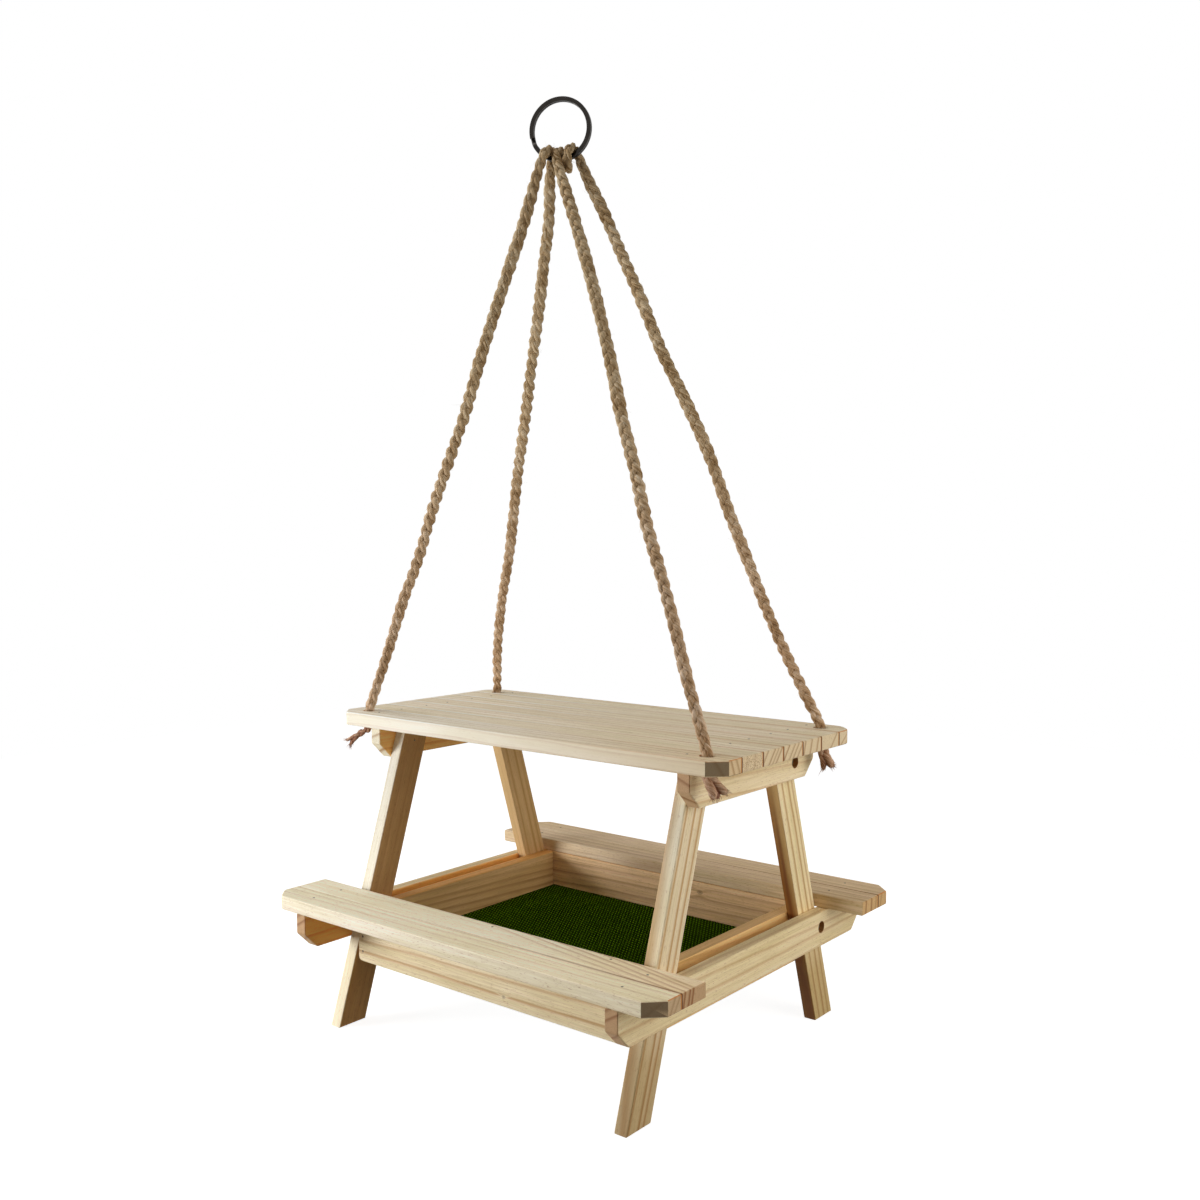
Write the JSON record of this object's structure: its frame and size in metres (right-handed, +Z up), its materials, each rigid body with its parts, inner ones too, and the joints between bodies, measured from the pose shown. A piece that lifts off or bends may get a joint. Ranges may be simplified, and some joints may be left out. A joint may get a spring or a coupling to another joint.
{
  "type": "hanging bird table",
  "caption": "Hanging ground feeder for birds shaped as a miniature picnic table, with benches, a seed tray with a mesh floor, and ropes gathered on a swinging split ring.",
  "frame": {"origin": "on the ground under the middle of the table top, at the middle of the four feet", "axes": "+X along the table top to the right end, +Y to the back bench, +Z up towards the hanging ring"},
  "size_m": [0.3064, 0.2564, 0.5804],
  "materials": {
    "pine": "bare sawn pine, fine saw marks, arrises just broken",
    "mesh_green": "dark green woven screen",
    "zinc": "zinc plated screw",
    "hemp": "braided natural fibre rope, slightly hairy",
    "glue": "set clear glue",
    "black_steel": "blackened spring steel, slightly shiny"
  },
  "bodies": {
    "table": {"top_slat_1": "pine", "top_slat_2": "pine", "top_slat_3": "pine", "top_slat_4": "pine", "top_slat_5": "pine", "top_slat_6": "pine", "top_slat_7": "pine", "top_cleat_left": "pine", "top_cleat_right": "pine", "leg_front_left": "pine", "leg_back_left": "pine", "leg_front_right": "pine", "leg_back_right": "pine", "seat_rail_left": "pine", "seat_rail_right": "pine", "bench_front_inner": "pine", "bench_front_outer": "pine", "bench_back_inner": "pine", "bench_back_outer": "pine", "tray_side_board_front": "pine", "tray_side_board_back": "pine", "tray_end_board_left": "pine", "tray_end_board_right": "pine", "tray_mesh": "mesh_green", "rail_screw_front_left": "zinc", "rail_screw_back_left": "zinc", "rail_screw_front_right": "zinc", "rail_screw_back_right": "zinc", "cleat_screw_front_left": "zinc", "cleat_screw_back_left": "zinc", "cleat_screw_front_right": "zinc", "cleat_screw_back_right": "zinc", "rope_front_left": "hemp", "rope_back_left": "hemp", "rope_front_right": "hemp", "rope_back_right": "hemp", "rope_left_bight": "hemp", "rope_right_turn": "hemp", "rope_glue_front_left": "glue", "rope_glue_back_left": "glue", "rope_glue_front_right": "glue", "rope_glue_back_right": "glue"},
    "ring": {"split_ring": "black_steel"}
  },
  "joints": [
    {"name": "ring_swing", "type": "hinge", "parent": "table", "child": "ring", "pos_m": [-0.0192, 0, 0.5418], "axis": [0.9135, 0.4067, 0], "range_deg": [-60, 60]}
  ]
}
